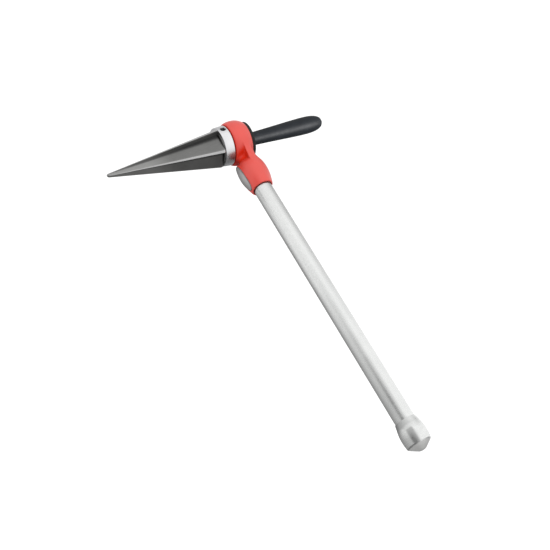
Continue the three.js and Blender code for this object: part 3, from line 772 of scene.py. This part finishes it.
def housing_field(points):
    """The casting as a distance field: below 0 inside it."""
    x, y, z = points[..., 0], points[..., 1], points[..., 2]
    from_x, from_y = np.hypot(y, z), np.hypot(x, z)
    field = housing_solid(x, y, z, from_x, from_y)
    # room for the collar in front and the cover behind
    field = carve(field, np.maximum(from_x - COLLAR_ROOM_R, x - COLLAR_ROOM_X))
    field = carve(field, np.maximum(from_x - COVER_ROOM_R, COVER_ROOM_X - x))
    # oval seat for the plate
    seat = np.maximum(PAD_AT(y)[0] - SEAT_DEPTH - from_y, x + 4)
    field = carve(field, np.maximum(oval(y, z, SEAT_HALF, 9.5), seat), 0.5)
    # bores along X
    field = carve(field, np.maximum(from_x - FRONT_BORE_R, x - FRONT_BORE_X), 0.5)
    field = carve(field, np.maximum(from_x - REAR_BORE_R, REAR_BORE_X - x), 0.6)
    # channels and handle socket along Y
    square = np.maximum(np.abs(x), np.abs(z)) - SQUARE_HALF
    field = carve(field, np.maximum(square, np.maximum(SQUARE_Y[0] - y, y - SQUARE_Y[1])))
    field = carve(field, np.maximum(from_y - ROUND_R,
                                    np.maximum(y - ROUND_Y[1], ROUND_Y[0] - y)))
    socket = np.maximum(from_y - SOCKET_R, y - SOCKET_Y)
    mouth = np.maximum(from_y - MOUTH_R, y - MOUTH_Y)
    field = carve(field, np.minimum(socket, mouth), 0.4)
    for centre in COVER_SCREW_CENTRES:
        hole = np.hypot(y - centre[1], z - centre[2]) - COVER_SCREW_HOLE_R
        field = carve(field, np.maximum(hole, COVER_SCREW_HOLE_X - x))
    return field


def edge_ends(axis, across):
    """Indices of the two ends of every grid edge along an axis; across cuts the other axes."""
    near, far = [across] * 3, [across] * 3
    near[axis], far[axis] = slice(0, -1), slice(1, None)
    return tuple(near), tuple(far)


def cell_points(grid, values, step):
    """A vertex in each grid cell the surface crosses, and the cells' vertex numbers."""
    cells = tuple(size - 1 for size in values.shape)
    total, count = np.zeros(cells + (3,)), np.zeros(cells)
    for axis in range(3):
        near, far = edge_ends(axis, slice(None))
        a, b = values[near], values[far]
        cross = (a < 0) != (b < 0)
        place = grid[near].copy()
        place[..., axis] += np.where(cross, a / np.where(cross, a - b, 1), 0) * step
        one, two = [k for k in range(3) if k != axis]
        for i in (0, 1):
            for j in (0, 1):
                part = [slice(None)] * 3
                part[one] = slice(i, cells[one] + i)
                part[two] = slice(j, cells[two] + j)
                crossed = cross[tuple(part)]
                total += np.where(crossed[..., None], place[tuple(part)], 0)
                count += crossed
    used = count > 0
    index = np.full(cells, -1, np.int64)
    index[used] = np.arange(used.sum())
    return total[used] / count[used][:, None], index


def cell_quads(inside, index):
    """A quad round every inner grid edge that the surface crosses."""
    quads = []
    for axis in range(3):
        near, far = edge_ends(axis, slice(1, -1))
        cross = inside[near] != inside[far]
        base = np.argwhere(cross) + (np.arange(3) != axis)
        one, two = (axis + 1) % 3, (axis + 2) % 3
        corners = []
        for i, j in ((0, 0), (1, 0), (1, 1), (0, 1)):
            cell = base.copy()
            cell[:, one] -= i
            cell[:, two] -= j
            corners.append(index[cell[:, 0], cell[:, 1], cell[:, 2]])
        quad = np.stack(corners, 1)
        reverse = ~inside[near][cross]
        quad[reverse] = quad[reverse][:, ::-1]
        quads.append(quad)
    return np.concatenate(quads)


def settle(field, verts, quads, step):
    """Draws the vertices onto the field, evening them out along the surface."""
    edges = np.concatenate([quads[:, [k, (k + 1) % 4]] for k in range(4)])
    start, end = edges.T
    n = len(verts)
    degree = np.bincount(edges.ravel(), minlength=n).astype(float)
    reach = step * 0.15
    for turn_number in range(6):
        gradient = np.empty_like(verts)
        for k in range(3):
            shift = np.zeros(3)
            shift[k] = reach
            gradient[:, k] = (field(verts + shift) - field(verts - shift)) / (2 * reach)
        square = np.maximum((gradient * gradient).sum(1), 0.04)
        move = -(field(verts) / square)[:, None] * gradient
        length = np.linalg.norm(move, axis=1)
        move *= np.minimum(1, 0.4 * step / np.maximum(length, 1e-9))[:, None]
        verts = verts + move
        if turn_number < 4:
            total = np.zeros_like(verts)
            for k in range(3):
                total[:, k] = (np.bincount(start, verts[end, k], n)
                               + np.bincount(end, verts[start, k], n))
            normal = gradient / np.sqrt(square)[:, None]
            drift = total / degree[:, None] - verts
            drift -= (drift * normal).sum(1)[:, None] * normal
            verts = verts + 0.5 * drift
    return verts


def surface_nets(field, lo, hi, step):
    """A closed quad surface where the field is 0."""
    axes = [np.arange(lo[i], hi[i] + step, step) for i in range(3)]
    grid = np.stack(np.meshgrid(*axes, indexing="ij"), -1)
    values = np.empty(grid.shape[:3], np.float64)
    for i in range(len(grid)):
        values[i] = field(grid[i])
    verts, index = cell_points(grid, values, step)
    quads = cell_quads(values < 0, index)
    return settle(field, verts, quads, step), quads


def mark_housing(ob):
    """Places of painted light on the enamel in spite of its surroundings, and of painted shade."""
    x, y, z = drawn_points(ob).T
    # painted highlight on the fillet between head and barrel, and lit top of the barrel's shoulder
    painted_highlight_spot = np.exp(-((x + 6.5) ** 2 + (y + 30.5) ** 2 + (z - 5.5) ** 2) / (2 * 2.6 ** 2))
    shoulder_top = 0.62 * rise(-39.0 - y, over=4.0)
    # painted shade on the rim behind the collar, strongest low down
    rim = (0.8 * rise(-12.5 - x, over=1.1) * (np.hypot(y, z) > 27.5) * (y > -33)
           * rise(12.0 - z, over=20.0, least=0.35))
    # painted shade on the lower side by the head, and on the narrow part between head and barrel
    lower = (0.75 * rise(-1.0 - z, over=8.0) * rise(-14 - y, over=6) * (y > -36)
             * rise(2 - x, over=4))
    neck = (0.85 * rise(5.0 - z, over=7.0) * rise(y + 50, over=8.0) * (y < -29)
            * rise(-3 - x, over=4))
    shaded = np.maximum(rim, np.maximum(lower, neck))
    store(ob, "painted_light_place", np.maximum(0.85 * painted_highlight_spot, shoulder_top) * (1 - shaded))
    store(ob, "shaded_place", shaded)


GRID_STEP = 0.62
GRID_LO, GRID_HI = (-22.5, -91.5, -35.0), (22.5, 35.0, 35.0)
verts, quads = surface_nets(housing_field, GRID_LO, GRID_HI, GRID_STEP)
housing = mesh_object("cast_housing", verts, quads.tolist(), [RED], body="head",
                      stands_for="ratchet_housing", sharp=55.0)
mark_housing(housing)

# ------------------------------------------------------------------ oval plate on the barrel
PLATE_HALF_LENGTH, PLATE_HALF_WIDTH = 22.0, 9.4
PLATE_TOP, PLATE_BOTTOM = 0.55, -0.25       # heights over the pad
PLATE_RINGS, PLATE_SEG = 14, 96
# (share of the half sizes, height, inset) of the rings round the plate's edge
PLATE_RIM = [(1, PLATE_TOP, 0.55), (1, 0.50, 0.22), (1, 0.38, 0.03), (1, 0.25, 0.0),
             (1, PLATE_BOTTOM, 0.0)]


def on_pad(along, across, lift):
    """A point of the plate, wrapped round the handle's axis."""
    y = PLATE_Y + along
    radius = float(PAD_AT(y)[0]) + lift
    angle = across / radius
    return (-radius * math.cos(angle), y, radius * math.sin(angle))


def build_plate():
    shares = [k / PLATE_RINGS for k in range(1, PLATE_RINGS)]
    rings = ([(share, PLATE_TOP, 0.0) for share in shares] + PLATE_RIM
             + [(share, PLATE_BOTTOM, 0.0) for share in shares[::-1]])
    verts = [on_pad(0, 0, PLATE_TOP)]
    for share, lift, inset in rings:
        for i in range(PLATE_SEG):
            angle = TAU * i / PLATE_SEG
            verts.append(on_pad((PLATE_HALF_LENGTH - inset) * share * math.cos(angle),
                                (PLATE_HALF_WIDTH - inset) * share * math.sin(angle), lift))
    verts.append(on_pad(0, 0, PLATE_BOTTOM))
    faces = loft_faces(len(rings), PLATE_SEG, first=1, start=0, end=len(verts) - 1)
    # the bands between the rim's rings are dark: painted shade round the plate's edge
    face_mat = [int(PLATE_RINGS - 1 <= k <= PLATE_RINGS + 2)
                for k in range(len(rings) - 1) for i in range(PLATE_SEG)] + [0, 0] * PLATE_SEG
    ob = mesh_object("blank_plate", verts, faces, [PLATE, PLATE_EDGE], body="head",
                     stands_for="nameplate", sharp=40, face_mat=face_mat)
    # painted shade, darker along its lower edge
    z = drawn_points(ob)[:, 2]
    store(ob, "root", np.interp(z, [-9.0, -5.0, 0.0, 6.0], [0.62, 0.45, 0.22, 0.0]))


build_plate()

# ------------------------------------------------------------------ rear cover, screws, bushes
# (x, radius, rounding)
COVER_SECTION = [(10.4, 12.05), (20.1, 12.05, 0.3), (20.1, 27.75, 1.0), (15.3, 27.75, 0.4),
                 (15.3, 20.5), (10.4, 20.5, 0.4)]
# countersunk hole (x, radius)
COVER_HOLE = [(9, 0), (9, 2.15), (18.1, 2.15), (20.0, 3.4), (21.5, 3.4), (21.5, 0)]


def beside_axis(centre):
    """Puts a shape drawn along X on a line parallel to it through centre."""
    return lambda points: points + centre


cover = lathe("rear_disc", closed(COVER_SECTION, 6), "X", [COVER], body="head",
              stands_for="rear_cover", seg=240, loop=True)
cover_places = [beside_axis(centre) for centre in COVER_SCREW_CENTRES]
cut_away(cover, [cutter(COVER_HOLE, place, 48) for place in cover_places], sharp=28)
for number, place in enumerate(cover_places, 1):
    socket_screw("cover_screw_%d" % number, "rear_cover_screw_%d" % number, "head", place,
                 head=19.95, tip=6.0, radius=2.0, across=2.5, cone_head=(1.9, 3.15))

lathe("bush_front", sleeve_section(-13.6, -8.9, inner=15.08, outer=17.5, bore_round=0.3), "X",
      [BRONZE], body="head", stands_for="front_bush", seg=144, loop=True)
lathe("bush_rear", sleeve_section(10.5, 20.0, inner=9.58, outer=12.0, bore_round=0.3), "X",
      [BRONZE], body="head", stands_for="rear_bush", seg=144, loop=True)

# ------------------------------------------------------------------ handle tube and end cap
TUBE_START_Y, TUBE_END_Y, TUBE_R, TUBE_BORE_R = -495, -57.9, 13.45, 10.8
lathe("handle_pipe", closed([(TUBE_START_Y, TUBE_BORE_R), (TUBE_START_Y, TUBE_R, 0.5),
                             (TUBE_END_Y, TUBE_R, 0.5), (TUBE_END_Y, TUBE_BORE_R, 0.3)]),
      "Y", [TUBE], body="head", stands_for="handle_tube", seg=192, loop=True)

# the cap's section (y, radius[, rounding]), from its outer end to the bottom of its socket
CAP_FACE = [(-HEAD_Y, 0), (-HEAD_Y, 3.2), (-519.3, 3.7), (-519.0, 4.6), (-518.6, 5.5),
            (-512.0, 15.3)]
CAP_EDGE = [(-512.0, 15.3), (-510.7, 16.5, 0.8), (-509.9, 16.75)]
CAP_BODY = [(-509.9, 16.75), (-507, 17.1), (-503.5, 17.45), (-500, 17.6), (-496.5, 17.55),
            (-493, 17.35), (-489.5, 16.85), (-486, 16.15), (-482.5, 15.3), (-479.4, 14.65)]
CAP_MOUTH = [(-479.4, 14.65), (-478.0, 14.5, 0.35), (-478.0, 13.5), (-495.4, 13.5), (-495.4, 0)]
CAP_GROUND_Y = -512.2       # faces centred beyond this are left as ground


def mark_knob(ob):
    """Painted dark reflection: one side of the lip and one patch. Its end is left as ground."""
    x, y, z = drawn_points(ob).T
    angle = np.degrees(np.arctan2(x, z))
    lip = 0.5 * rise(np.sin(np.radians(10 - angle)), over=1) * rise(y + 494, over=9)
    patch = 0.45 * rise(19 - np.abs(angle + 33), over=8) * rise(-489.5 - y, over=2.5)
    store(ob, "root", np.maximum(lip, patch))
    polygons = ob.data.polygons
    centres = np.empty(len(polygons) * 3)
    polygons.foreach_get("center", centres)
    ground = centres[1::3] / MM - HEAD_Y < CAP_GROUND_Y
    polygons.foreach_set("material_index", ground.astype(np.int32))


knob_section = (CAP_FACE + fillet(CAP_EDGE)[1:-1] + curve_through(CAP_BODY, 5)
                + fillet(CAP_MOUTH)[1:])
knob = lathe("end_knob", knob_section, "Y", [CAP, CAP_END], body="head",
             stands_for="handle_end_cap", seg=192, sharp=22)
mark_knob(knob)

# ------------------------------------------------------------------ push grip
# (x, radius[, rounding]): front lip, outside, and the bore from the rear end back to the front
GRIP_LIP = [(22.9, 8.05), (22.9, 9.6, 0.6), (24.2, 9.75)]
GRIP_OUTSIDE = [(24.2, 9.75), (33, 10.0), (53, 10.75), (73, 11.6), (92, 12.45), (106, 12.95),
                (116, 13.12), (123, 13.1), (129, 12.8), (134, 12.2), (138, 11.4),
                (141.5, 10.3), (144.5, 8.85), (146.5, 7.55)]
GRIP_BORE = [(146.6, 7.35), (146.4, 7.3), (117.6, 7.3), (117.6, 8.05)]
PLUG_SIDE = [(139, 0), (139, 6.8), (139.6, 7.25), (146.35, 7.25)]
PLUG_DOME = [(146.62, 7.1), (147.4, 6.4), (148.3, 5.2), (149.1, 3.6), (149.55, 1.8), (149.7, 0)]

grip = lathe("push_handle", fillet(GRIP_LIP, 4)[:-1] + curve_through(GRIP_OUTSIDE) + GRIP_BORE,
             "X", [GRIP], body="push_grip", stands_for="feed_grip",
             seg=176, loop=True, sharp=34)
plug = lathe("push_handle_plug", PLUG_SIDE + curve_through(PLUG_DOME, 5), "X", [GRIP],
             body="push_grip", stands_for="grip_end_plug", seg=128,
             sharp=40)
lathe("washer_thrust", sleeve_section(20.7, 22.7, inner=6.08, outer=9.1, bore_round=0.2), "X",
      [STEEL], body="push_grip", stands_for="thrust_washer", seg=128,
      loop=True)
lathe("sleeve_grip", sleeve_section(23.0, 117.3, inner=6.08, outer=8.0, bore_round=0.2), "X",
      [BRONZE], body="push_grip", stands_for="grip_sleeve", seg=96, loop=True)

# ------------------------------------------------------------------ CAD pieces kept as they are
for node, mat in {
    "spindle": STEEL, "drive_key": STEEL, "ratchet_wheel": STEEL,
    "wheel_retaining_ring": SPRING, "grip_washer": STEEL, "grip_screw": BLACK_OXIDE,
    "spring_plug": STEEL, "pawl_spring": SPRING, "pawl": STEEL,
}.items():
    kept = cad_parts[node].data.materials
    kept.clear()
    kept.append(mat)

# ------------------------------------------------------------------ floor (metres from here on)
FLOOR_Z, FLOOR_HALF = -0.45, 6.0


def floor_paper():
    mat = Mat("floor_paper")
    col = mat.mix(mat.noise(0.004, detail=3, rough=0.5), grey(0.90), grey(0.92))
    return mat.finish(Base_Color=col, Roughness=0.9)


floor_mesh = bpy.data.meshes.new("floor")
floor_corners = [(x * FLOOR_HALF, y * FLOOR_HALF, FLOOR_Z)
                 for x, y in ((-1, -1), (1, -1), (1, 1), (-1, 1))]
floor_mesh.from_pydata(floor_corners, [], [(0, 1, 2, 3)])
floor_mesh.materials.append(floor_paper())
floor = bpy.data.objects.new("floor", floor_mesh)
SCENE.collection.objects.link(floor)
floor.visible_glossy = False


# ------------------------------------------------------------------ lights
def area(name, place, target, size, power):
    light = bpy.data.lights.new(name, "AREA")
    light.shape = "RECTANGLE"
    light.size, light.size_y = size
    light.energy = power
    light.spread = math.pi
    ob = bpy.data.objects.new(name, light)
    ob.location = place
    ob.rotation_mode = "QUATERNION"
    ob.rotation_quaternion = (Vector(target) - Vector(place)).to_track_quat("-Z", "Y")
    SCENE.collection.objects.link(ob)
    return ob


top = area("soft_top", place=(0.05, 0.55, 1.9), target=(0, 0.35, 0), size=(1.5, 1.5), power=17)
top.visible_glossy = False
# a key light that falls on the grip and its plug only
GRIP_MID = Vector((0.09, HEAD_Y * MM, 0))
KEY_DIR = Vector((0.47, -0.70, 0.52)).normalized()
key = area("grip_key", place=GRIP_MID + KEY_DIR * 1.5, target=GRIP_MID, size=(1.1, 0.8),
           power=36)
receivers = bpy.data.collections.new("grip_key_receivers")
for ob in (grip, plug):
    receivers.objects.link(ob)
key.light_linking.receiver_collection = receivers


# ------------------------------------------------------------------ world
# Ramps below run over a direction's x, y or z, each from -1 to 1.
def studio_sky(nodes, x, y, z):
    sky = nodes.ramp_over(z, (-0.4, 0.36), (-0.2, 0.45), (0.0, 0.56), (0.15, 0.74),
                          (0.45, 0.95), (0.8, 1.06), (1.0, 1.08))
    ground = nodes.ramp_over(y, (-0.2, 0.17), (0.15, 0.26), (0.45, 0.46), (1.0, 0.60))
    # the ground is bright towards +X and +Y
    toward_x = nodes.ramp_over(x, (0.15, 0.0), (0.55, 1.0))
    toward_y = nodes.ramp_over(y, (-0.1, 0.0), (0.2, 1.0))
    ground = nodes.mix(nodes.times(toward_x, toward_y), ground, grey(0.95))
    # the low sky is dim on the side towards -X and -Y, and the sky dims again towards +Y
    low = nodes.ramp_over(z, (0.10, 1.0), (0.55, 0.0))
    away_x = nodes.ramp_over(x, (-0.30, 1.0), (0.16, 0.0))
    away_y = nodes.ramp_over(y, (-0.45, 1.0), (0.05, 0.0))
    sky = nodes.mix(nodes.times(nodes.times(low, away_x), away_y), sky, grey(0.20))
    sky = nodes.mix(nodes.ramp_over(y, (0.48, 0.0), (0.80, 0.40)), sky, grey(0.42))
    return nodes.mix(nodes.ramp_over(z, (-0.50, 1.0), (0.02, 0.0)), sky, ground)


def camera_patch(nodes, direction, env):
    """A dim patch round the camera."""
    inputs = {0: direction, 1: (-0.56, -0.50, 0.66)}
    distance = nodes.node("VectorMath", inputs, operation="DISTANCE").outputs["Value"]
    patch = nodes.ramp_over(distance, (0.20, 0.72), (0.75, 0.0), span=(0, 2))
    return nodes.mix(patch, env, grey(0.12))


def handle_band(nodes, x, y, z, env):
    """What the long handle reflects, by the turn round its axis."""
    angle = nodes.maths("ARCTAN2", x, z)

    def turned(*stops):
        """A ramp over degrees from straight up, turning towards +X."""
        return nodes.ramp_over(angle, *[(math.radians(a), v) for a, v in stops],
                               span=(-math.pi, math.pi))

    # bright towards +X, dim towards -X and below
    band = turned((-180, 0.25), (-90, 0.5), (-30, 0.5), (10, 1.0), (120, 1.0), (150, 0.3),
                  (180, 0.25))
    # the -X side clears towards the head
    clears = nodes.times(turned((-150, 0.0), (-90, 1.0), (120, 1.0), (150, 0.0)),
                         nodes.ramp_over(y, (0.15, 0.0), (0.45, 1.0)))
    band = nodes.mix(clears, band, grey(1))
    # one dark strip card
    card = nodes.times(turned((-65, 0.0), (-50, 1.0), (-40, 1.0), (-25, 0.0)),
                       nodes.ramp_over(y, (0.05, 1.0), (0.25, 0.0)))
    band = nodes.mix(card, band, grey(0.1))
    # a greyer +X side by the head
    far = nodes.times(turned((20, 0.0), (80, 1.0), (150, 1.0), (170, 0.0)),
                      nodes.ramp_over(y, (0.3, 0.0), (0.5, 1.0)))
    band = nodes.mix(far, band, grey(0.5))
    window = nodes.ramp_over(y, (-0.4, 0.0), (-0.2, 1.0), (0.5, 1.0), (0.65, 0.0))
    return nodes.mix(window, env, band)


def build_world():
    """The full studio in reflections, and a soft overhead light for everything else."""
    world = bpy.data.worlds.new("studio")
    nodes = Nodes(world)
    out = nodes.node("OutputWorld")
    background = nodes.node("Background")
    nodes.put(out.inputs[0], background.outputs[0])
    direction = nodes.node("TexCoord").outputs["Generated"]
    x, y, z = nodes.node("SeparateXYZ", {0: direction}).outputs
    env = studio_sky(nodes, x, y, z)
    env = camera_patch(nodes, direction, env)
    env = handle_band(nodes, x, y, z, env)
    glossy = nodes.node("LightPath").outputs["Is Glossy Ray"]
    inputs = {0: direction, 1: (0.0, -0.15, 0.985)}
    height = nodes.node("VectorMath", inputs, operation="DOT_PRODUCT").outputs["Value"]
    soft = nodes.ramp_over(height, (-1.0, 0.30), (-0.45, 0.38), (-0.22, 0.52), (0.10, 0.98),
                           (0.5, 1.06), (1.0, 1.06))
    nodes.put(background.inputs[0], nodes.mix(glossy, soft, env))
    background.inputs[1].default_value = 1.0
    SCENE.world = world


build_world()

# ------------------------------------------------------------------ view and camera
SCENE.view_settings.view_transform = "Standard"
SCENE.view_settings.look = "None"
SCENE.view_settings.exposure = 0
SCENE.view_settings.gamma = 1

SENSOR_WIDTH, FOCAL_LENGTH = 36.0, 55.62801818      # millimetres
CAMERA_PLACE = (-0.5197977, -0.1822977, 0.9198259)
CAMERA_RIGHT = Vector((0.8647515531121263, -0.4599866707033685, 0.20153663231630284))
CAMERA_DOWN = Vector((-0.2887064651438572, -0.7837082419151272, -0.5499545149723198))
CAMERA_FORWARD = Vector((0.4109176661745083, 0.4173890922503025, -0.8105140450949412))

camera_data = bpy.data.cameras.new("photo_camera")
camera_data.sensor_width = SENSOR_WIDTH
camera_data.lens = FOCAL_LENGTH
camera_data.clip_start = 0.05
camera_data.clip_end = 50
camera = bpy.data.objects.new("photo_camera", camera_data)
turned_to = Matrix((CAMERA_RIGHT, -CAMERA_DOWN, -CAMERA_FORWARD)).transposed()
camera.matrix_world = Matrix.Translation(CAMERA_PLACE) @ turned_to.to_4x4()
SCENE.collection.objects.link(camera)
SCENE.camera = camera
